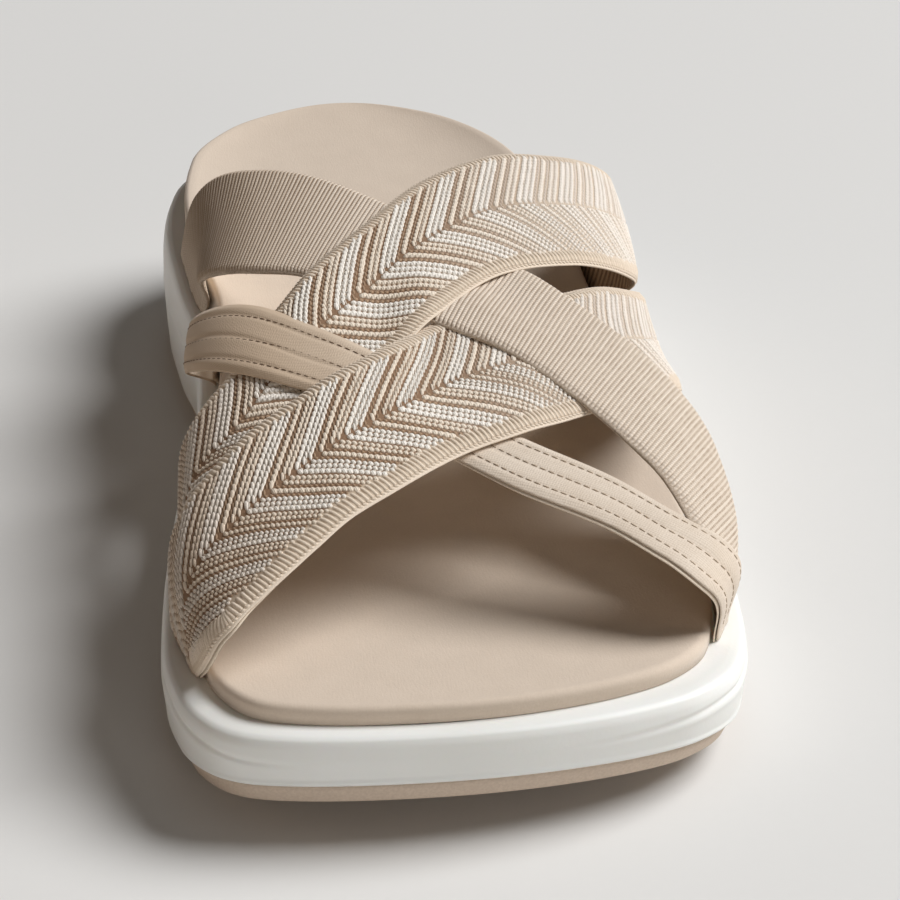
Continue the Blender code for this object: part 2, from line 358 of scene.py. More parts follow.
def coverFinish():
    paint = Paint("footbed_cover")
    nap = paint.noise(0.00035, 4)
    drift = paint.noise(0.006, 3)
    thread = paint.noise(0.0006, 2, (1.6, 0.35, 1))
    colour = paint.blend(drift.between(0.3, 0.7), srgb(211, 195, 178), srgb(214, 198, 181))
    colour = paint.blend(nap.between(0.35, 0.75) * 0.22, colour, srgb(193, 175, 157))
    normal = paint.bump(nap * 0.6 + thread * 0.6, 0.00008, 0.7)
    return paint.surface(colour=colour, roughness=0.80 + 0.12 * nap, normal=normal,
                         sheen=0.25, sheenRoughness=0.5, specular=0.25)


# Sole

midsoleSpec = {
    "fit": 0.0002,
    "rings": 60,
    "creaseDeep": 0.00032,
    "creaseHalf": 0.0005,  # half height of the moulded line
    "lipOut": 0.00045,  # thin lip along the lower edge
    "lipHigh": 0.0006,
    "lipHalf": 0.0006,
}

wallRows = table("rise inset", [
    (0.00, 0.0014),
    (0.12, 0.0006),
    (0.35, 0.0002),
    (0.55, 0.0000),
    (0.76, 0.0001),
    (0.90, 0.0005),
    (0.97, 0.0013),
    (1.00, 0.0027),
])

# height share of the moulded line along the sole and how strongly it shows
creaseRows = table("along rise show", [
    (0.000, 0.41, 0.0),
    (0.006, 0.44, 0.0),
    (0.016, 0.50, 0.7),
    (0.040, 0.60, 1.0),
    (0.080, 0.68, 1.0),
    (0.200, 0.72, 1.0),
    (0.500, 0.66, 0.9),
    (0.800, 0.60, 0.8),
    (1.000, 0.57, 0.6),
])


def buildMidsole():
    spec = midsoleSpec
    even = np.linspace(0, 1, spec["rings"])
    rises = (1 - np.cos(np.pi * even)) / 4 + even / 2
    creaseRise = smooth(creaseRows["along"], creaseRows["rise"], stationAlong)
    creaseShow = smooth(creaseRows["along"], creaseRows["show"], stationAlong)
    rings = []
    for rise in rises:
        wall = float(smooth(wallRows["rise"], wallRows["inset"], np.array([rise]))[0])
        y = plan(stationAlong, wall, wall, wall)[0]
        foot = underside(y) + sandal["outsoleThick"] + spec["fit"]
        tall = height("rim", y) - foot
        off = (rise - creaseRise) * tall / spec["creaseHalf"]
        groove = hump(0, 1, off) - 0.35 * hump(-2.2, 1.5, off)  # with a low ridge below it
        lip = hump(spec["lipHigh"], spec["lipHalf"], rise * tall)
        inset = wall + spec["creaseDeep"] * creaseShow * groove - spec["lipOut"] * lip
        inset = np.maximum(inset, -0.0001)
        y, inner, outer = plan(stationAlong, inset, inset, inset)
        z = foot + tall * rise
        rings.append({"y": y, "inner": inner, "outer": outer, "zInner": z, "zOuter": z})

    return soleBody("midsole_foam", rings, 6, level, 6, level)


outsoleSpec = {
    "topInset": 0.0016,
    "footInset": 0.0024,
    "edgeRound": 0.0008,
    "treadDeep": 0.0009,
    "treadPitch": 0.0090,
    "treadWide": 0.0022,
    "treadMargin": (0.004, 0.007),  # the grooves run out this far in from the edge
    "waveHigh": 0.0025,
    "waveRun": 0.012,
}


def buildOutsole():
    spec = outsoleSpec
    thick = sandal["outsoleThick"]
    shape = [  # inset and height over the underside
        (spec["footInset"] + spec["edgeRound"], 0.0),
        (spec["footInset"] + spec["edgeRound"] * 0.3, spec["edgeRound"] * 0.25),
        (spec["footInset"], spec["edgeRound"]),
        (spec["footInset"] * 0.4 + spec["topInset"] * 0.6, thick * 0.6),
        (spec["topInset"], thick - spec["edgeRound"] * 0.4),
        (spec["topInset"] + spec["edgeRound"] * 0.4, thick),
    ]
    rings = []
    for inset, rise in shape:
        y, inner, outer = plan(stationAlong, inset, inset, inset)
        z = underside(y) + rise
        rings.append({"y": y, "inner": inner, "outer": outer, "zInner": z, "zOuter": z})

    def floor(x, ring):  # shallow wavy grooves across the tread
        d = fromToe(ring["y"])
        edge = np.minimum(x - ring["inner"], ring["outer"] - x)
        wave = d + spec["waveHigh"] * np.sin(x / spec["waveRun"])
        near = np.abs((wave / spec["treadPitch"] + 0.5) % 1 - 0.5) * spec["treadPitch"]
        groove = 1 - ease(spec["treadWide"] * 0.3, spec["treadWide"] * 0.7, near)
        return ring["zInner"] + spec["treadDeep"] * groove * ease(*spec["treadMargin"], edge)

    return soleBody("outsole_rubber", rings, 4, level, 40, floor)


footbedSpec = {
    "fit": 0.0002,
    "edgeRadius": 0.0013,
    "columns": 46,
    "cupRise": 0.0055,
    "cupStart": 0.50,
    "cupBack": 0.80,
    "archRise": 0.0040,
    "archMiddle": 0.56,
    "archSpan": 0.20,
    "fill": 0.9,  # foam under the cover
}


def bedTop(x, ring):
    spec = footbedSpec
    along, inner, outer = ring["along"], ring["inner"], ring["outer"]
    across = (2 * x - inner - outer) / np.maximum(outer - inner, 0.0003)
    cup = spec["cupRise"] * np.clip((along - spec["cupStart"]) / (1 - spec["cupStart"]), 0, 1)
    back = np.clip((along - spec["cupBack"]) / (1 - spec["cupBack"]), 0, 1) ** 2
    rim = 1 - (1 - np.abs(across) ** 4) * (1 - back)
    arch = np.clip(1 - ((along - spec["archMiddle"]) / spec["archSpan"]) ** 2, 0, 1) ** 2
    support = spec["archRise"] * arch * np.clip(-across, 0, 1) ** 2
    return height("bed", ring["y"]) + cup * rim + support


def buildFootbed():
    spec = footbedSpec
    y, inner, outer = plan(stationAlong, *ledges)
    foot = height("rim", y) + spec["fit"]
    rings = [{"y": y, "inner": inner, "outer": outer, "zInner": foot, "zOuter": foot}]
    for angle in np.radians([0, 15, 30, 45, 60, 75, 90]):
        inset = spec["edgeRadius"] * (1 - math.cos(angle))
        drop = spec["edgeRadius"] * (1 - math.sin(angle))
        y, inner, outer = plan(stationAlong, *(ledges + inset))
        ring = {"y": y, "inner": inner, "outer": outer, "along": stationAlong}
        ring["zInner"] = bedTop(inner, ring) - drop
        ring["zOuter"] = bedTop(outer, ring) - drop
        rings.append(ring)

    return soleBody("footbed_cover", rings, spec["columns"], bedTop, 4, level)


# Straps: they lie over one arched form, given by its section at each Y

strapForm = {
    "clear": 0.0006,
    "foot": 0.0002,
    "liftAtFoot": 0.12,
    "crownPower": 4.0,
    "sidePower": 2.3,
    "flareHeight": 0.6,
    "liftScale": 1.25,  # the woven straps ride over each other at their full thickness
    "middle": 0.504,  # where the points of the chevrons lie across a strap
    "tuck": 0.0012,  # how far a pattern runs on under another strap
}
liningShare = np.linspace(0, 1, 160)
formY = np.linspace(-0.114, 0.084, 199)
formShare = np.linspace(0, 1, 321)


def archAt(y, lift):
    spec = strapForm
    bedLength = sandal["length"] - sandal["toeLedge"] - sandal["heelLedge"]
    along = (fromToe(y) - sandal["toeLedge"]) / bedLength
    _, inner, outer = plan(np.array([along]), *ledges)
    middle = (inner + outer) / 2
    reach = (outer - inner) / 2 + spec["clear"] + lift
    at = np.array([y])
    foot = height("rim", at) + spec["foot"] + spec["liftAtFoot"] * lift
    rise = 1 - (1 - np.linspace(0, 1, 500)) ** 3
    swell = ease(0, spec["flareHeight"], rise)
    taper = np.clip(1 - rise ** spec["crownPower"], 0, 1) ** (1 / spec["sidePower"])
    z = foot + (height("crown", at) + lift - foot) * rise
    left = middle - (reach + height("flareIn", at) * swell) * taper
    right = middle + (reach + height("flareOut", at) * swell) * taper
    x = np.concatenate([left, right[-2::-1]])
    z = np.concatenate([z, z[-2::-1]])
    run = runAlong(x, z)
    even = formShare * run[-1]
    return np.interp(even, run, x), np.interp(even, run, z), run[-1]


def layForm():
    flat = [archAt(y, 0.0) for y in formY]
    raised = [archAt(y, mm) for y in formY]
    base = np.array([np.stack(row[:2], -1) for row in flat])
    grow = (np.array([np.stack(row[:2], -1) for row in raised]) - base) / mm
    return base, grow, np.array([row[2] for row in flat])


formBase, formGrow, formLength = layForm()


def cubicWeights(f):
    return np.stack([-0.5 * f + f ** 2 - 0.5 * f ** 3, 1 - 2.5 * f ** 2 + 1.5 * f ** 3,
                     0.5 * f + 2 * f ** 2 - 1.5 * f ** 3, -0.5 * f ** 2 + 0.5 * f ** 3], -1)


def overFoot(share, y, lift):
    u = np.clip((y - formY[0]) / (formY[1] - formY[0]), 1, len(formY) - 3)
    v = np.clip(share / (formShare[1] - formShare[0]), 0, len(formShare) - 1.000001)
    i, j = u.astype(int), v.astype(int)
    wi, wj = cubicWeights(u - i), cubicWeights(v - j)
    base = np.zeros(share.shape + (2,))
    grow = np.zeros(share.shape + (2,))
    for a in range(4):
        for b in range(4):
            weight = (wi[..., a] * wj[..., b])[..., None]
            row = np.clip(i + a - 1, 0, len(formY) - 1)
            column = np.clip(j + b - 1, 0, len(formShare) - 1)
            base += weight * formBase[row, column]
            grow += weight * formGrow[row, column]
    xz = base + grow * lift[..., None]
    return np.stack([xz[..., 0], y, xz[..., 1]], -1)


def formWide(y):
    return np.interp(y, formY, formLength)


def acrossForm(share, y):
    return (share - 0.5) * formWide(y)


def shareAt(s, y):
    return s / formWide(y) + 0.5


def unit(vectors):
    return vectors / np.maximum(np.linalg.norm(vectors, axis=-1, keepdims=True), 1e-12)


class Strap:
    # patterns are laid out on the unrolled form: s over the foot and y along it
    def __init__(self, rows):
        self.share = np.linspace(0, 1, 601)
        half = sandal["length"] / 2
        self.front = smooth(rows["share"], rows["front"], self.share) - half
        self.rear = smooth(rows["share"], rows["rear"], self.share) - half
        self.frontLift = smooth(rows["share"], rows["frontLift"], self.share)
        self.rearLift = smooth(rows["share"], rows["rearLift"], self.share)
        self.frontTilt = self.tilt(self.front)
        self.rearTilt = self.tilt(self.rear)
        self.middle = self.front * (1 - strapForm["middle"]) + self.rear * strapForm["middle"]
        self.middleS = acrossForm(self.share, self.middle)

    def tilt(self, y):  # cosine of an edge's slant
        return 1 / np.hypot(1, np.gradient(y, acrossForm(self.share, y)))

    def read(self, values, share):
        return np.interp(share, self.share, values)

    def middleAt(self, s):  # runs straight on past the inner foot and the outer end
        low, high = 90, 200
        y = np.interp(s, self.middleS, self.middle)
        first = (self.middle[high] - self.middle[low]) / (self.middleS[high] - self.middleS[low])
        last = (self.middle[-1] - self.middle[-21]) / (self.middleS[-1] - self.middleS[-21])
        y = np.where(s < self.middleS[low], self.middle[low] + first * (s - self.middleS[low]), y)
        return y + last * np.maximum(s - self.middleS[-1], 0)

    def slopeAt(self, s):
        return (self.middleAt(s + 0.0005) - self.middleAt(s - 0.0005)) / 0.001

    def lift(self, share, y):
        front, rear = self.read(self.front, share), self.read(self.rear, share)
        a = ease(0.2, 0.8, (y - front) / (rear - front))
        lift = self.read(self.frontLift, share) * (1 - a) + self.read(self.rearLift, share) * a
        return lift * strapForm["liftScale"]

    def gaps(self, share, y):  # distance in from the front and the rear edge
        front = (y - self.read(self.front, share)) * self.read(self.frontTilt, share)
        rear = (self.read(self.rear, share) - y) * self.read(self.rearTilt, share)
        return front, rear

    def at(self, share, y, rise):
        share = np.clip(share, 0, 1)
        return overFoot(share, y, self.lift(share, y) + rise)

    def axes(self, s, y, rise):  # point, directions over and along the foot, and outward
        d = 0.0002
        found = [self.at(shareAt(s + a, y + b), y + b, rise)
                 for a, b in ((0, 0), (d, 0), (-d, 0), (0, d), (0, -d))]
        over, back = unit(found[1] - found[2]), unit(found[3] - found[4])
        return found[0], over, back, unit(np.cross(over, back))

    def covers(self, share, y):
        front, rear = self.gaps(share, y)
        return (front > strapForm["tuck"]) & (rear > strapForm["tuck"])

    def edgePath(self, rear):  # edge on the unrolled form with its length and the way in from it
        y = self.rear if rear else self.front
        s = acrossForm(self.share, y)
        along = unit(np.stack([np.gradient(s), np.gradient(y)], -1))
        inward = np.stack([-along[:, 1], along[:, 0]], -1) * (-1 if rear else 1)
        return s, y, runAlong(s, y), inward

    def band(self, name, low, high, inset, steps, stops, columns, relief=None, marks=None):
        # closed band between two heights over the form, with rounded edges
        share = np.linspace(0, 1, steps)
        frontTilt, rearTilt = self.read(self.frontTilt, share), self.read(self.rearTilt, share)
        front = self.read(self.front, share) + inset / frontTilt
        rear = self.read(self.rear, share) - inset / rearTilt
        radius = (high - low) / 2
        arc = np.radians([60, 30, 0, -30, -60])
        bulge = [(radius * (1 - math.cos(a)), low + radius + radius * math.sin(a)) for a in arc]
        stops = [radius] + [stop for stop in stops if stop > radius * 1.2]
        loop = [(front + stop / frontTilt, high, True) for stop in stops]
        first, last = loop[-1][0], rear - stops[-1] / rearTilt
        loop += [(first + (last - first) * a, high, True) for a in np.linspace(0, 1, columns + 2)[1:-1]]
        loop += [(rear - stop / rearTilt, high, True) for stop in stops[::-1]]
        loop += [(rear - back / rearTilt, z, False) for back, z in bulge]
        first, last = front + radius / frontTilt, rear - radius / rearTilt
        loop += [(last + (first - last) * a, low, False) for a in np.linspace(0, 1, columns)]
        loop += [(front + back / frontTilt, z, False) for back, z in bulge[::-1]]
        points, shares, ys = [], [], []
        for y, rise, top in loop:
            extra = relief(share, *self.gaps(share, y)) if relief and top else 0.0
            points.append(self.at(share, y, rise + extra))
            shares.append(share)
            ys.append(y)
        points = np.stack(points, 1)
        size = len(loop)
        faces = gridFaces(steps, size)
        faces.append(list(range(size))[::-1])
        faces.append(list(range((steps - 1) * size, steps * size)))
        item = makeObject(name, points, faces)
        if marks:
            setAttributes(item.data, marks(np.stack(shares, 1).ravel(), np.stack(ys, 1).ravel()))
        return cleanUp(item)


strapColumns = "share front rear frontLift rearLift"
rearKnit = Strap(table(strapColumns, [
    (0.00, 0.0450, 0.0850, 0.0000, 0.0000),
    (0.10, 0.0440, 0.0830, 0.0000, 0.0000),
    (0.20, 0.0500, 0.0870, 0.0000, 0.0000),
    (0.30, 0.0660, 0.1030, 0.0000, 0.0006),
    (0.36, 0.0730, 0.1140, 0.0000, 0.0014),
    (0.42, 0.0800, 0.1250, 0.0000, 0.0014),
    (0.50, 0.0910, 0.1410, 0.0018, 0.0014),
    (0.60, 0.1060, 0.1530, 0.0014, 0.0014),
    (0.70, 0.1142, 0.1600, 0.0008, 0.0008),
    (0.80, 0.1235, 0.1705, 0.0002, 0.0002),
    (0.90, 0.1415, 0.1875, 0.0000, 0.0000),
    (1.00, 0.1600, 0.2035, 0.0000, 0.0000),
]))

frontKnit = Strap(table(strapColumns, [
    (0.00, 0.0270, 0.0535, 0.0000, 0.0015),
    (0.04, 0.0215, 0.0540, 0.0000, 0.0015),
    (0.08, 0.0190, 0.0545, 0.0000, 0.0015),
    (0.12, 0.0186, 0.0555, 0.0000, 0.0015),
    (0.18, 0.0211, 0.0590, 0.0002, 0.0016),
    (0.24, 0.0247, 0.0640, 0.0008, 0.0020),
    (0.30, 0.0298, 0.0690, 0.0014, 0.0022),
    (0.36, 0.0356, 0.0740, 0.0020, 0.0028),
    (0.42, 0.0412, 0.0810, 0.0020, 0.0022),
    (0.50, 0.0500, 0.0920, 0.0014, 0.0002),
    (0.58, 0.0560, 0.0980, 0.0012, 0.0000),
    (0.65, 0.0620, 0.1015, 0.0003, 0.0000),
    (0.74, 0.0705, 0.1108, 0.0000, 0.0000),
    (0.80, 0.0780, 0.1178, 0.0000, 0.0000),
    (0.90, 0.0980, 0.1390, 0.0000, 0.0000),
    (1.00, 0.1170, 0.1570, 0.0000, 0.0000),
]))

elastic = Strap(table(strapColumns, [
    (0.00, 0.1650, 0.1920, 0.0000, 0.0000),
    (0.10, 0.1495, 0.1800, 0.0000, 0.0000),
    (0.16, 0.1385, 0.1748, 0.0000, 0.0000),
    (0.21, 0.1297, 0.1705, 0.0000, 0.0000),
    (0.27, 0.1212, 0.1634, 0.0000, 0.0000),
    (0.33, 0.1150, 0.1560, 0.0000, 0.0000),
    (0.42, 0.1030, 0.1424, 0.0000, 0.0000),
    (0.50, 0.0905, 0.1300, 0.0010, 0.0000),
    (0.58, 0.0795, 0.1170, 0.0014, 0.0000),
    (0.65, 0.0667, 0.1070, 0.0014, 0.0010),
    (0.74, 0.0490, 0.0900, 0.0014, 0.0014),
    (0.82, 0.0358, 0.0765, 0.0008, 0.0008),
    (0.90, 0.0300, 0.0680, 0.0000, 0.0000),
    (1.00, 0.0300, 0.0640, 0.0000, 0.0000),
]))

narrow = Strap(table(strapColumns, [
    (0.00, 0.1366, 0.1545, 0.0000, 0.0000),
    (0.10, 0.1162, 0.1340, 0.0002, 0.0002),
    (0.18, 0.0975, 0.1190, 0.0006, 0.0008),
    (0.29, 0.0775, 0.1038, 0.0014, 0.0014),
    (0.36, 0.0680, 0.0910, 0.0014, 0.0014),
    (0.43, 0.0590, 0.0800, 0.0006, 0.0006),
    (0.50, 0.0500, 0.0680, 0.0000, 0.0000),
    (0.58, 0.0420, 0.0565, 0.0000, 0.0000),
    (0.71, 0.0335, 0.0455, 0.0000, 0.0000),
    (0.80, 0.0275, 0.0385, 0.0000, 0.0004),
    (0.88, 0.0240, 0.0360, 0.0000, 0.0010),
    (1.00, 0.0290, 0.0395, 0.0000, 0.0008),
]))
print("forms laid out")


# Geometry Nodes: stitches on points, and rods along lines

def newTree(name, sizes):
    tree = bpy.data.node_groups.new(name, "GeometryNodeTree")
    tree.interface.new_socket("Geometry", in_out="INPUT", socket_type="NodeSocketGeometry")
    for label, value in sizes.items():
        kind = "NodeSocketInt" if isinstance(value, int) else "NodeSocketFloat"
        tree.interface.new_socket(label, in_out="INPUT", socket_type=kind).default_value = value
    tree.interface.new_socket("Finish", in_out="INPUT", socket_type="NodeSocketMaterial")
    tree.interface.new_socket("Geometry", in_out="OUTPUT", socket_type="NodeSocketGeometry")
    return tree, tree.nodes.new("NodeGroupInput"), tree.nodes.new("NodeGroupOutput")


def addNode(tree, kind, feeds, **settings):
    made = tree.nodes.new(kind)
    for name, value in settings.items():
        setattr(made, name, value)
    for key, value in feeds.items():
        if hasattr(value, "links"):
            tree.links.new(value, made.inputs[key])
        else:
            made.inputs[key].default_value = value
    return made


def finishTree(tree, geometry, finish, outlet):
    real = addNode(tree, "GeometryNodeRealizeInstances", {"Geometry": geometry})
    soft = addNode(tree, "GeometryNodeSetShadeSmooth", {"Geometry": real.outputs[0]})
    painted = addNode(tree, "GeometryNodeSetMaterial", {"Geometry": soft.outputs[0], "Material": finish})
    tree.links.new(painted.outputs[0], outlet.inputs["Geometry"])
    return tree


def stitchTree():
    sizes = {"Length": 1.0, "Width": 1.0, "Height": 1.0, "Around": 5, "Along": 5}
    tree, entry, outlet = newTree("stitch_rows", sizes)
    grain = addNode(tree, "GeometryNodeMeshUVSphere", {
        "Segments": entry.outputs["Around"], "Rings": entry.outputs["Along"], "Radius": 0.5})
    along = addNode(tree, "GeometryNodeTransform", {
        "Geometry": grain.outputs[0], "Rotation": (0, math.pi / 2, 0)})
    place = addNode(tree, "GeometryNodeInputPosition", {})
    named = addNode(tree, "GeometryNodeStoreNamedAttribute", {
        "Geometry": along.outputs[0], "Name": "inStitch", "Value": place.outputs[0]},
        data_type="FLOAT_VECTOR")
    size = addNode(tree, "ShaderNodeCombineXYZ", {
        0: entry.outputs["Length"], 1: entry.outputs["Width"], 2: entry.outputs["Height"]})
    own, up, ahead = (addNode(tree, "GeometryNodeInputNamedAttribute", {"Name": label},
                              data_type="FLOAT_VECTOR") for label in ("size", "up", "ahead"))
    scale = addNode(tree, "ShaderNodeVectorMath", {0: size.outputs[0], 1: own.outputs[0]},
                    operation="MULTIPLY")
    pose = addNode(tree, "FunctionNodeAxesToRotation", {0: ahead.outputs[0], 1: up.outputs[0]},
                   primary_axis="X", secondary_axis="Z")
    laid = addNode(tree, "GeometryNodeInstanceOnPoints", {
        "Points": entry.outputs["Geometry"], "Instance": named.outputs[0],
        "Rotation": pose.outputs[0], "Scale": scale.outputs[0]})
    return finishTree(tree, laid.outputs[0], entry.outputs["Finish"], outlet)


def rodTree():
    tree, entry, outlet = newTree("rod_rows", {"Radius": 0.0005, "Sides": 6})
    line = addNode(tree, "GeometryNodeMeshToCurve", {0: entry.outputs["Geometry"]})
    ring = addNode(tree, "GeometryNodeCurvePrimitiveCircle", {
        "Resolution": entry.outputs["Sides"], "Radius": entry.outputs["Radius"]})
    rod = addNode(tree, "GeometryNodeCurveToMesh", {
        "Curve": line.outputs[0], "Profile Curve": ring.outputs[0], "Fill Caps": True})
    return finishTree(tree, rod.outputs[0], entry.outputs["Finish"], outlet)


stitches, rods = stitchTree(), rodTree()


def growNodes(name, points, edges, attributes, tree, sizes, finish):
    mesh = bpy.data.meshes.new(name + "_seed")
    mesh.from_pydata(points.tolist(), edges, [])
    setAttributes(mesh, attributes)
    seed = addObject(name + "_seed", mesh)
    grow = seed.modifiers.new("grow", "NODES")
    grow.node_group = tree
    keys = {item.name: item.identifier for item in tree.interface.items_tree if item.in_out == "INPUT"}
    for label, value in {**sizes, "Finish": finish}.items():
        grow[keys[label]] = value
    grown = bpy.data.meshes.new_from_object(seed.evaluated_get(bpy.context.evaluated_depsgraph_get()))
    seed.modifiers.remove(grow)
    bpy.data.objects.remove(seed)
    bpy.data.meshes.remove(mesh)
    grown.name = name
    print(name, sum(len(face.vertices) - 2 for face in grown.polygons), "triangles")
    return addObject(name, grown)


def layStitches(name, strap, s, y, heading, rise, size, marks, finish, tilt=0.0):
    # heading is each stitch's direction on the unrolled form, in radians from the way over the foot,
    # and tilt lifts its far end
    points, over, back, up = strap.axes(s, y, rise)
    ahead = unit(np.cos(heading)[:, None] * over + np.sin(heading)[:, None] * back + tilt * up)
    own = {"up": up, "ahead": ahead, "size": np.stack(size, -1)}
    return growNodes(name, points, [], {**own, **marks}, stitches, {}, finish)


def layRods(name, lines, marks, sizes, finish):
    edges = []
    start = 0
    for line in lines:
        edges += [(start + k, start + k + 1) for k in range(len(line) - 1)]
        start += len(line)
    return growNodes(name, np.concatenate(lines), edges, marks, rods, sizes, finish)


# Strap finishes

yarn = {
    "white": srgb(249, 243, 234),
    "cream": srgb(238, 224, 206),
    "beige": srgb(240, 226, 208),
    "dark": srgb(176, 147, 120),
    "underBeige": srgb(216, 197, 176),
    "underWhite": srgb(236, 226, 212),
    # pale is painted light, laid over the stripes where the lamp falls on the outer end
    "pale": srgb(238, 228, 217),
    "border": srgb(232, 217, 199),
    "ground": srgb(146, 117, 93),
}

knitSpec = {
    "thick": 0.00095,
    "lining": 0.0003,
    "liningOut": 0.0003,  # how far the lining shows at the inner foot, and lies back elsewhere
    "liningIn": 0.0007,
    "gap": 0.00015,
    "hem": 0.0006,
    "edgeDrop": 0.0006,  # how much thinner a strap is at its edge, and over what width
    "edgeRun": 0.0018,
    "ribPitch": 0.00088,
    "ribRadius": 0.00042,
    "ribSink": np.array([0.00026, 0.00012, 0.00012, 0.00022]),  # at its four points, from the inside out
    "chain": 0.00065,  # small loops this far in from each edge
    "loopSize": (0.00115, 0.00070, 0.00056),
    "stops": (0.0006, 0.0008, 0.0011, 0.0015, 0.0020),
    # stripes of one repeat and their widths, each under lies in a seam between rows of one colour
    "chart": (("dark", 0.60), ("cream", 1.08), ("dark", 0.54), ("beige", 0.86), ("underBeige", 0.08),
              ("beige", 0.86), ("gap", 0.16), ("white", 1.00), ("underWhite", 0.08), ("white", 0.83),
              ("underWhite", 0.08), ("white", 0.83)),
    # width over the row's, length over the stitch spacing, height and depth of each yarn's stitches
    "stitches": {
        "white": (1.16, 1.6, 0.00076, 0.0),
        "cream": (1.14, 1.6, 0.00072, 0.00003),
        "beige": (1.14, 1.6, 0.00070, 0.00003),
        "dark": (1.15, 1.15, 0.00064, 0.00010),
        "underBeige": (6.5, 1.4, 0.00056, 0.00010),
        "underWhite": (6.5, 1.4, 0.00056, 0.00008),
        "gap": (0.0, 0.0, 0.0, 0.0),
    },
    "repeats": (-18, 14),
    "rowStitches": 56,
    "ends": (0.006, 0.994),  # shares over the foot where the stitches stop
    "turnIn": (0.05, 0.28),  # where the arms turn, in shares over the foot
    "turnOut": (0.48, 0.78),
    "tilt": 0.10,
    "seed": 7,
}


def knitFinish():
    paint = Paint("chevron_knit")
    stripes = [yarn.get(name, yarn["ground"]) for name, wide in knitSpec["chart"]]
    colour = paint.ramp(paint.attribute("stripe"), stripes)
    # painted light: the stitches turn paler toward the lit outer end
    colour = paint.blend(paint.attribute("fade"), colour, yarn["pale"])
    # painted shade: colours darker and warmer toward the inner foot
    colour = paint.blend(paint.attribute("inner") * 0.42, colour, srgb(178, 150, 122))
    fluff = paint.noise(0.00022, 3)
    ply = (paint.local("inStitch", "Y") * 26.0 + paint.local("inStitch", "X") * 9.0).sine()
    colour = paint.blend(fluff.between(0.35, 0.8) * 0.13, colour, yarn["ground"])
    return paint.surface(colour=colour, roughness=0.80 + 0.15 * fluff,
                         normal=paint.bump(fluff + ply * 0.25, 0.00012, 0.8),
                         sheen=0.2, sheenRoughness=0.5, specular=0.2)


def groundFinish():
    paint = Paint("knit_ground")
    fluff = paint.noise(0.0003, 3)
    spots = fluff.between(0.3, 0.75)
    colour = paint.blend(spots * 0.5, yarn["ground"], srgb(122, 96, 75))
    pale = paint.blend(spots * 0.5, srgb(208, 192, 174), srgb(190, 172, 152))
    hem = paint.blend(spots * 0.4, yarn["border"], srgb(208, 190, 170))
    # painted light: the ground turns paler toward the lit outer end
    colour = paint.blend(paint.attribute("fade"), colour, pale)
    colour = paint.blend(paint.attribute("border"), colour, srgb(206, 188, 167))
    colour = paint.blend(paint.attribute("hem"), colour, hem)
    normal = paint.bump(fluff, 0.0001, 0.8)
    return paint.surface(colour=colour, roughness=0.85, normal=normal, specular=0.2)


def yarnFinish(name, light, dark, deep):
    paint = Paint(name)
    fluff = paint.noise(0.00025, 3)
    knot = (paint.attribute("run") * 9.5).sine()
    colour = paint.blend(fluff.between(0.3, 0.8) * 0.4, light, dark)
    colour = paint.blend(knot.between(0.1, 1.0) * 0.35, colour, dark)
    # tint gives random tone on the border, painted shade on the elastic ribs and painted light on the
    # sewing thread
    colour = paint.blend(paint.attribute("tint"), colour, deep)
    normal = paint.bump(fluff - knot * 0.4, 0.00010, 0.8)
    return paint.surface(colour=colour, roughness=0.80 + 0.12 * fluff, normal=normal,
                         sheen=0.2, sheenRoughness=0.5, specular=0.2)


def weaveFinish(name, light, dark, pale=(0.6, 0.6, 0.6)):
    paint = Paint(name)
    fluff = paint.noise(0.0003, 3)
    drift = paint.noise(0.005, 2)
    # blends toward pale as painted light on the lit outer end, and for the elastic also along its real
    # pale selvage
    colour = paint.blend(paint.attribute("fade"), light, pale)
    colour = paint.blend(fluff.between(0.3, 0.75) * 0.6 + drift.between(0.3, 0.7) * 0.2, colour, dark)
    normal = paint.bump(fluff, 0.0001, 0.8)
    return paint.surface(colour=colour, roughness=0.85, normal=normal, specular=0.2)


def reverseFinish():
    paint = Paint("knit_reverse")
    fluff = paint.noise(0.0003, 3)
    colour = paint.blend(fluff.between(0.3, 0.75) * 0.6, srgb(234, 220, 202), srgb(212, 195, 174))
    # brown rows of loose yarn on the back of the knit, near the outer end
    rows = (paint.attribute("rows") * 2.4 + paint.noise(0.004, 1) * 3.0).sine()
    loose = paint.blend(rows.between(-0.7, 0.9), srgb(178, 151, 123), srgb(124, 98, 75))
    loose = paint.blend(fluff.between(0.35, 0.7) * 0.35, loose, srgb(206, 184, 158))
    colour = paint.blend(paint.attribute("outer"), colour, loose)
    normal = paint.bump(fluff * 0.5 - rows * paint.attribute("outer") * 0.5, 0.0003, 0.8)
    return paint.surface(colour=colour, roughness=0.85, normal=normal, specular=0.2)


def smoothFinish():
    paint = Paint("smooth_strap")
    nap = paint.noise(0.0004, 4)
    drift = paint.noise(0.006, 2)
    colour = paint.blend(drift.between(0.3, 0.7), srgb(216, 201, 184), srgb(222, 208, 192))
    colour = paint.blend(nap.between(0.4, 0.8) * 0.3, colour, srgb(192, 173, 152))
    # painted shade: darker and warmer toward the inner foot
    colour = paint.blend(paint.attribute("inner") * 0.85, colour, srgb(194, 168, 139))
    # fine uneven weave, about 0.7 mm a thread
    sway = paint.noise(0.0012, 2) * 5.0
    over, along = paint.attribute("over") * 9.0 + sway, paint.attribute("along") * 9.0 - sway
    weave = (over + along * 0.4).sine() * (along - over * 0.4).sine()
    colour = paint.blend(weave.between(0.1, 0.9) * 0.22, colour, srgb(184, 163, 141))
    normal = paint.bump(nap * 0.6 - weave * 0.35, 0.00010, 0.7)
    return paint.surface(colour=colour, roughness=0.72 + 0.12 * nap, normal=normal,
                         sheen=0.15, sheenRoughness=0.5, specular=0.3)


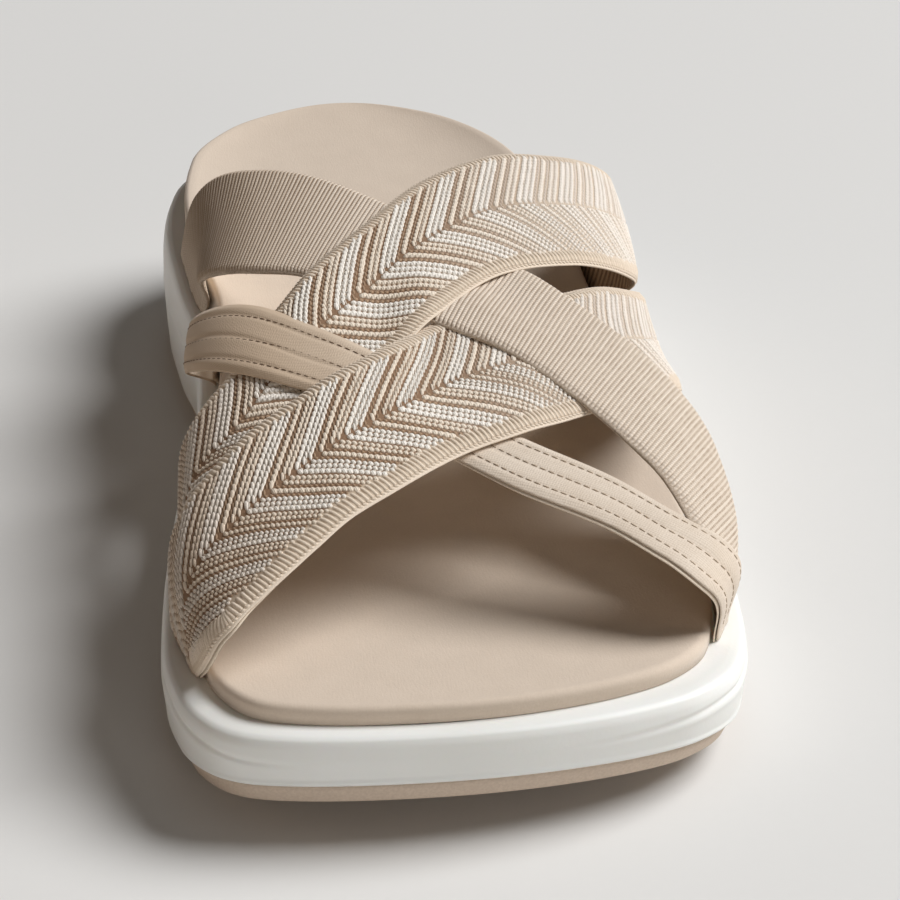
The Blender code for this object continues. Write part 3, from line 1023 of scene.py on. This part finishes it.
finishes = {
    "foam": foamFinish(),
    "rubber": rubberFinish(),
    "cover": coverFinish(),
    "knit": knitFinish(),
    "ground": groundFinish(),
    "border": yarnFinish("knit_border", yarn["border"], srgb(196, 176, 154), srgb(190, 168, 144)),
    # the third colour is painted shade on the ribs near the inner foot
    "elastic": yarnFinish("elastic_rib", srgb(232, 219, 204), srgb(190, 170, 149), srgb(164, 141, 116)),
    # the elastic's ground: brown as painted shade toward the inner foot, pale as painted light at the
    # outer end
    "elasticGround": weaveFinish("elastic_ground", srgb(156, 133, 111), srgb(136, 113, 92),
                                 srgb(206, 191, 174)),
    "smooth": smoothFinish(),
    "lining": weaveFinish("strap_lining", srgb(234, 220, 202), srgb(212, 195, 174)),
    "reverse": reverseFinish(),
    # the thread's third colour is pale, painted light on the stitches at the lit outer side
    "thread": yarnFinish("sewing_thread", srgb(124, 100, 80), srgb(150, 127, 105), srgb(206, 188, 167)),
}


def settle(item, slot, *nodes):
    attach(item, "root")
    if nodes:
        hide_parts(*nodes)
    return item


def dress(item, finish, slot, *nodes):
    item.data.materials.clear()
    item.data.materials.append(finishes[finish])
    return settle(item, slot, *nodes)


dress(buildOutsole(), "rubber", "outsole", "outsole")
dress(buildMidsole(), "foam", "midsole", "midsole")
dress(buildFootbed(), "cover", "footbed", "footbed")
print("sole built")

rearKnitSpec = {
    "start": 0.408,  # share over the foot where one repeat of the chart begins
    "phase": 0.71,  # how much sooner, in widths of the chart
    "step": 0.00125,  # width 1 of the chart, over the foot
    # bend turns an arm near the inner foot, bendOut near the outer end
    "rearArm": {"angle": 81.0, "bend": 0.0, "bendOut": 3.0, "stitch": 0.0014, "slant": 14.0},
    "frontArm": {"angle": -17.0, "bend": 6.0, "bendOut": -42.0, "stitch": 0.00095, "slant": 38.0},
    "borders": (0.0034, 0.0029),  # front and rear
    # shares over the foot across which the knit is painted paler, as painted light on the lit outer end
    "fade": (0.46, 0.74),
}
frontKnitSpec = {
    "start": 0.393,
    "phase": 1.20,
    "step": 0.00122,
    "rearArm": {"angle": 73.0, "bend": 3.0, "bendOut": 10.0, "stitch": 0.0014, "slant": 14.0},
    "frontArm": {"angle": -18.0, "bend": 10.0, "bendOut": -42.0, "stitch": 0.00095, "slant": 38.0},
    "borders": (0.0036, 0.0030),
    # shares over the foot across which the knit is painted paler, as painted light on the lit outer end
    "fade": (0.44, 0.78),
}


def edgeRise(spec, gap):
    return -spec["edgeDrop"] * (1 - ease(0, spec["edgeRun"], gap))


def edgeRelief(spec):
    def relief(share, front, rear):
        return spec["edgeDrop"] + edgeRise(spec, np.minimum(front, rear))
    return relief


def addLining(name, strap, spec, shown, columns, finish, marks=None):
    # shown is 1 where the lining's edge comes out past the strap's
    inset = spec["liningIn"] - (spec["liningIn"] + spec["liningOut"]) * shown
    lining = strap.band(name, 0.0, spec["lining"], inset, len(shown), (), columns, None, marks)
    dress(lining, finish, "strap_lining")


def armAngle(arm, share):
    near, far = 1 - ease(*knitSpec["turnIn"], share), ease(*knitSpec["turnOut"], share)
    return np.radians(arm["angle"] + arm["bend"] * near + arm["bendOut"] * far)


def chevronStitches(strap, own, above):
    spec = knitSpec
    names = [name for name, wide in spec["chart"]]
    widths = np.array([wide for name, wide in spec["chart"]])
    cover, length, high, sunk = np.array([spec["stitches"][name] for name in names]).T
    used = [k for k, name in enumerate(names) if name != "gap"]
    repeat, row = np.meshgrid(np.arange(*spec["repeats"]), used, indexing="ij")
    row = row.ravel()
    place = repeat.ravel() * widths.sum() + (np.cumsum(widths) - widths / 2)[row] - own["phase"]
    middleY = np.interp(own["start"], strap.share, strap.middle)
    apexS = acrossForm(own["start"], middleY) + place * own["step"]
    apexY = strap.middleAt(apexS)
    slope = strap.slopeAt(apexS)
    loose = np.random.default_rng(spec["seed"])
    found = []
    for arm, side in ((own["rearArm"], 1), (own["frontArm"], -1)):
        slant = math.radians(arm["slant"])
        # each row turns as it runs, and rows side by side keep their distance
        first = armAngle(arm, shareAt(apexS, apexY))
        steps = []
        s, y, angle = apexS, apexY, first
        for count in range(spec["rowStitches"]):
            reach = arm["stitch"] * (1 if count else 0.5 + 0.5 * (row % 2))
            s, y = s + reach * np.cos(angle), y + reach * np.sin(angle)
            share = shareAt(s, y)
            angle = armAngle(arm, share)
            steps.append((s, y, share, angle))
        s, y, share, angle = (np.stack(columns, 1) for columns in zip(*steps))
        # length and width of a slanted stitch that fills its row
        fill = own["step"] * (widths * cover)[row] * np.abs(np.tan(first) - slope)
        fill = fill[:, None] * np.cos(angle)
        long = np.minimum(arm["stitch"] * length[row][:, None], 0.7 * fill / math.sin(slant))
        wide = np.sqrt(fill ** 2 - (long * math.sin(slant)) ** 2) / math.cos(slant)
        front, rear = strap.gaps(np.clip(share, 0, 1), y)
        keep = (share > spec["ends"][0]) & (share < spec["ends"][1])
        keep &= (front > own["borders"][0]) & (rear > own["borders"][1])
        for other in above:
            keep &= ~other.covers(share, y)
        heading = angle + side * slant + loose.normal(0, 0.05, s.shape)
        full = np.ones(s.shape)
        vary = 1 + loose.normal(0, 0.05, s.shape)
        columns = (s, y, share, heading, row[:, None] * full, long * vary, wide * vary)
        found.append([column[keep] for column in columns])
    s, y, share, heading, row, long, wide = (np.concatenate(parts) for parts in zip(*found))
    row = row.astype(int)
    return s, y, share, heading, row, sunk[row], (long, wide, high[row])


def borderRibs(strap, own, above, high):
    # short ribs across the border, and loops between them and the edge
    spec = knitSpec
    lines, tint, loops = [], [], []
    for rear in (True, False):
        edgeS, edgeY, run, inward = strap.edgePath(rear)
        wide = own["borders"][1 if rear else 0] + 0.0003
        heading = np.arctan2(np.gradient(edgeY), np.gradient(edgeS))
        for k, at in enumerate(np.arange(spec["ribPitch"], run[-1], spec["ribPitch"])):
            gap = np.array([wide, wide * 0.78, wide * 0.6, spec["chain"] + 0.0003])
            edge = np.array([np.interp(at, run, edgeS), np.interp(at, run, edgeY)])
            way = np.array([np.interp(at, run, column) for column in inward.T])
            s, y = edge[:, None] + gap * way[:, None]
            share = shareAt(s, y)
            hidden = any(other.covers(share, y).all() for other in above)
            if share.max() < spec["ends"][0] or share.min() > spec["ends"][1] or hidden:
                continue
            share = np.clip(share, 0.004, 0.996)
            lines.append(strap.at(share, y, high + edgeRise(spec, gap) - spec["ribSink"]))
            tint.append(np.full(len(gap), 0.15 + 0.12 * math.sin(k * 2.4)))
            loops.append((*(edge + spec["chain"] * way), np.interp(at, run, heading) - 0.5))
    return lines, np.concatenate(tint), np.array(loops).T


def buildKnit(name, strap, own, above):
    spec = knitSpec
    low = spec["lining"] + spec["gap"]
    high = low + spec["thick"]

    def marks(share, y):
        front, rear = strap.gaps(share, y)
        inside = np.minimum(front - own["borders"][0], rear - own["borders"][1])
        # painted light: the ground is paler toward the lit outer end
        return {"fade": ease(*own["fade"], share), "border": 1 - ease(0.0, 0.0004, inside),
                "hem": 1 - ease(spec["hem"] * 0.98, spec["hem"] * 1.10, np.minimum(front, rear))}

    def backRows(share, y):
        return {"rows": (y + 0.35 * acrossForm(share, y)) / mm, "outer": ease(0.74, 0.80, share)}

    shown = 1 - ease(0.08, 0.24, liningShare)  # near the inner foot only
    addLining(name + "_lining", strap, spec, shown, 14, "reverse", backRows)
    ground = strap.band(name + "_band", low, high - spec["edgeDrop"], 0.0, 240, spec["stops"], 30,
                        edgeRelief(spec), marks)
    dress(ground, "ground", "chevron_knit", "upper")
    s, y, share, heading, row, sunk, size = chevronStitches(strap, own, above)
    # painted light: the stitches are paler toward the lit outer end
    stripe = {"stripe": (row + 0.5) / len(spec["chart"]), "fade": 0.78 * ease(*own["fade"], share),
              # painted shade toward the inner foot
              "inner": 1 - ease(0.10, 0.36, share)}
    rise = high - 0.00002 - sunk
    knit = layStitches(name + "_stitches", strap, s, y, heading, rise, size, stripe,
                       finishes["knit"], spec["tilt"])
    settle(knit, "chevron_knit")
    lines, tint, loops = borderRibs(strap, own, above, high)
    ribs = layRods(name + "_border", lines, {"tint": tint}, {"Radius": spec["ribRadius"]},
                   finishes["border"])
    settle(ribs, "chevron_knit")
    s, y, heading = loops
    full = np.ones(s.shape)
    rise = (high - 0.00006 + edgeRise(spec, spec["chain"])) * full
    size = [side * full for side in spec["loopSize"]]
    chain = layStitches(name + "_chain", strap, s, y, heading, rise, size, {"tint": 0.12 * full},
                        finishes["border"])
    settle(chain, "chevron_knit")


buildKnit("rear_knit", rearKnit, rearKnitSpec, (frontKnit, narrow))
buildKnit("front_knit", frontKnit, frontKnitSpec, (elastic,))

elasticSpec = {
    "thick": 0.0010,
    "lining": 0.0003,
    "liningIn": 0.0004,
    "liningOut": 0.0,
    "gap": 0.00005,
    "ribPitch": 0.00086,
    "ribRadius": 0.00048,
    "ribSunk": 0.00032,
    "selvage": 0.0004,
    "edgeDrop": 0.00055,
    "edgeRun": 0.0015,
    # shares over which the elastic's ground goes from painted shade to painted light
    "fade": (0.30, 0.75),
    "stops": (0.0006, 0.0009, 0.0012, 0.0016),
    "ends": (0.004, 0.996),
    "overrun": 0.030,  # ribs are started this far past the strap's ends
    "reach": 0.045,
}

# direction of the ribs on the unrolled form, in degrees from the way over the foot
elasticRows = table("share angle", [
    (0.0, 80.0),
    (0.3, 75.0),
    (0.5, 66.0),
    (0.7, 61.0),
    (1.0, 60.0),
])


def buildElastic():
    spec = elasticSpec
    low = spec["lining"] + spec["gap"]
    high = low + spec["thick"]
    addLining("elastic_lining", elastic, spec, 0 * liningShare, 14, "lining")

    def marks(share, y):
        # painted shade toward the inner foot giving way to painted light at the outer end; the pale
        # selvage along both edges is the strap's own colour
        rim = 1 - ease(0.0004, 0.0011, np.minimum(*elastic.gaps(share, y)))
        return {"fade": np.maximum(ease(*spec["fade"], share), rim)}

    band = elastic.band("elastic_band", low, high - spec["edgeDrop"], 0.0, 220, spec["stops"], 30,
                        edgeRelief(spec), marks)
    dress(band, "elasticGround", "ribbed_elastic", "upper")
    lines, tint, runs = [], [], []
    reach = np.linspace(-spec["reach"], spec["reach"], 361)
    ends = np.array([0, 2, 4, 6])  # closer points at the ends of a rib
    s = elastic.middleS[0] - spec["overrun"]
    k = 0
    while s < elastic.middleS[-1] + spec["overrun"]:
        y = float(elastic.middleAt(s))
        lean = np.interp(shareAt(s, y), elasticRows["share"], elasticRows["angle"])
        angle = math.radians(float(lean))
        slope = float(elastic.slopeAt(s))
        lineS, lineY = s + reach * math.cos(angle), y + reach * math.sin(angle)
        share = shareAt(lineS, lineY)
        front, rear = elastic.gaps(np.clip(share, 0, 1), lineY)
        keep = (share > spec["ends"][0]) & (share < spec["ends"][1])
        keep &= (front > spec["selvage"]) & (rear > spec["selvage"])
        keep &= ~rearKnit.covers(share, lineY)
        for part in np.split(np.arange(len(reach)), np.flatnonzero(np.diff(keep.astype(int))) + 1):
            if len(part) < 8 or not keep[part[0]]:
                continue
            last = len(part) - 1
            between = np.linspace(9, last - 9, max(2, last // 14))
            steps = np.concatenate([ends, between, last - ends[::-1]])
            picked = part[np.unique(np.clip(steps, 0, last).astype(int))]
            near = np.minimum(front[picked], rear[picked])
            dip = 0.0003 * (1 - ease(0.0004, 0.0008, near))
            rise = high - spec["ribSunk"] + edgeRise(spec, near) - dip
            runs.append(reach[picked] / mm)
            lines.append(elastic.at(share[picked], lineY[picked], rise))
            # painted shade: ribs darker toward the inner foot, eased off at the very end
            deep = (1 - ease(0.12, 0.46, share[picked])) * (0.35 + 0.40 * ease(0.02, 0.16, share[picked]))
            tint.append(0.08 + 0.08 * math.sin(k * 2.4) + deep)
        s += spec["ribPitch"] / abs(math.sin(angle) - slope * math.cos(angle))
        k += 1
    ribs = layRods("elastic_ribs", lines, {"tint": np.concatenate(tint), "run": np.concatenate(runs)},
                   {"Radius": spec["ribRadius"], "Sides": 8}, finishes["elastic"])
    settle(ribs, "ribbed_elastic")


buildElastic()

narrowSpec = {
    "thick": 0.0009,
    "lining": 0.0003,
    "gap": 0.00025,  # a thin dark line between strap and lining at the front edge
    "edgeDrop": 0.0005,
    "edgeRun": 0.0016,
    "rows": (0.17, 0.48, 0.81),  # stitch rows as shares of the width
    "stitch": 0.0013,
    "stitchGap": 0.0004,
    "threadWide": 0.00024,
    "threadHigh": 0.0003,
    "liningIn": 0.0004,  # the lining lies back at the inner side and shows at the outer
    "liningOut": 0.0002,
    "groove": 0.00018,
    "grooveHalf": 0.0006,
    "stops": (0.0009, 0.0012, 0.0015),
}


def buildNarrow():
    spec = narrowSpec
    low = spec["lining"] + spec["gap"]
    high = low + spec["thick"]

    def seams(share, front, rear):
        a = front / (front + rear)
        edge = edgeRelief(spec)(share, front, rear)
        half = spec["grooveHalf"] / (front + rear)
        return edge - spec["groove"] * sum(hump(row, half, a) for row in spec["rows"])

    def marks(share, y):
        # painted shade on the strap toward the inner foot
        inner = 1 - ease(0.22, 0.58, share)
        return {"over": acrossForm(share, y) / mm, "along": y / mm, "inner": inner}

    addLining("narrow_lining", narrow, spec, ease(0.40, 0.60, liningShare), 8, "lining")
    band = narrow.band("narrow_band", low, high - spec["edgeDrop"], 0.0, 260, spec["stops"], 60,
                       seams, marks)
    dress(band, "smooth", "smooth_strap", "upper")
    shares, ys, headings = [], [], []
    for row in spec["rows"]:
        y = narrow.front * (1 - row) + narrow.rear * row
        s = acrossForm(narrow.share, y)
        run = runAlong(s, y)
        at = np.arange(0.003, run[-1] - 0.003, spec["stitch"] + spec["stitchGap"])
        shares.append(np.interp(at, run, narrow.share))
        ys.append(np.interp(at, run, y))
        headings.append(np.interp(at, run, np.arctan2(np.gradient(y), np.gradient(s))))
    share, y, heading = np.concatenate(shares), np.concatenate(ys), np.concatenate(headings)
    full = np.ones(share.shape)
    size = [spec[side] * full for side in ("stitch", "threadWide", "threadHigh")]
    # painted light: stitches paler toward the lit outer side
    tint = {"tint": 0.10 + 0.68 * ease(0.40, 0.70, share)}
    rise = (high - 0.00012) * full
    seam = layStitches("narrow_stitching", narrow, acrossForm(share, y), y, heading, rise, size, tint,
                       finishes["thread"])
    settle(seam, "stitching")


buildNarrow()
print("straps built")


# Floor, light and camera

stage = {
    "floor": srgb(224, 223, 221),
    "floorSize": 6.0,
    "world": 0.055,
    "cameraPlace": (-0.05515, -0.531, 0.270),
    "photoPitch": 24.1,
    "photoFocus": 1400.0,  # pixels over the picture's 900
    "picture": 900.0,
    "aimPixel": (601.5, 500.0),
    "closer": 2.1,
}

# the fill is low, so that it lights the toe wall and hardly the floor, and the bounce is weak and warm
lights = {
    "key": {"place": (4.25, 0.6, 4.8), "size": 4.2, "power": 515.0, "colour": (1.0, 1.0, 1.0)},
    "fill": {"place": (0.35, -1.35, 0.24), "size": 0.6, "power": 3.5, "colour": (1.0, 0.95, 0.89)},
    "bounce": {"place": (-0.7, -0.1, 0.25), "size": 0.5, "power": 0.45, "colour": (1.0, 0.72, 0.48)},
}


def areaLight(name, place, size, power, colour):
    lamp = bpy.data.lights.new(name, "AREA")
    lamp.shape = "DISK"
    lamp.size = size
    lamp.energy = power
    lamp.color = colour
    item = bpy.data.objects.new(name, lamp)
    item.location = place
    item.rotation_euler = (Vector((0, 0, 0.02)) - Vector(place)).to_track_quat("-Z", "Y").to_euler()
    bpy.context.scene.collection.objects.link(item)


def buildStage():
    half = stage["floorSize"] / 2
    corners = [(-half, -half, 0), (half, -half, 0), (half, half, 0), (-half, half, 0)]
    floor = makeObject("floor", corners, [(0, 1, 2, 3)])
    paint = Paint("pale_floor")
    speck = paint.noise(0.002, 3)
    paint.surface(colour=paint.blend(speck * 0.15, stage["floor"], srgb(214, 213, 211)), roughness=0.75)
    floor.data.materials.append(paint.material)
    for name, values in lights.items():
        areaLight(name, **values)
    world = bpy.data.worlds.new("studio")
    world.use_nodes = True
    world.node_tree.nodes["Background"].inputs["Color"].default_value = (1, 1, 1, 1)
    world.node_tree.nodes["Background"].inputs["Strength"].default_value = stage["world"]
    bpy.context.scene.world = world
    bpy.context.scene.view_settings.view_transform = "Standard"


def buildCamera():
    lens = bpy.data.cameras.new("camera")
    lens.sensor_width = 36
    lens.lens = 36 * stage["photoFocus"] * stage["closer"] / stage["picture"]
    camera = bpy.data.objects.new("camera", lens)
    pitch = math.radians(stage["photoPitch"])
    right = (stage["aimPixel"][0] - stage["picture"] / 2) / stage["photoFocus"]
    down = (stage["aimPixel"][1] - stage["picture"] / 2) / stage["photoFocus"]
    ahead = Vector((0, math.cos(pitch), -math.sin(pitch)))
    below = Vector((0, -math.sin(pitch), -math.cos(pitch)))
    aim = ahead + below * down + Vector((1, 0, 0)) * right
    camera.location = stage["cameraPlace"]
    camera.rotation_euler = aim.to_track_quat("-Z", "Y").to_euler()
    bpy.context.scene.collection.objects.link(camera)
    bpy.context.scene.camera = camera


buildStage()
buildCamera()
print("stage set")
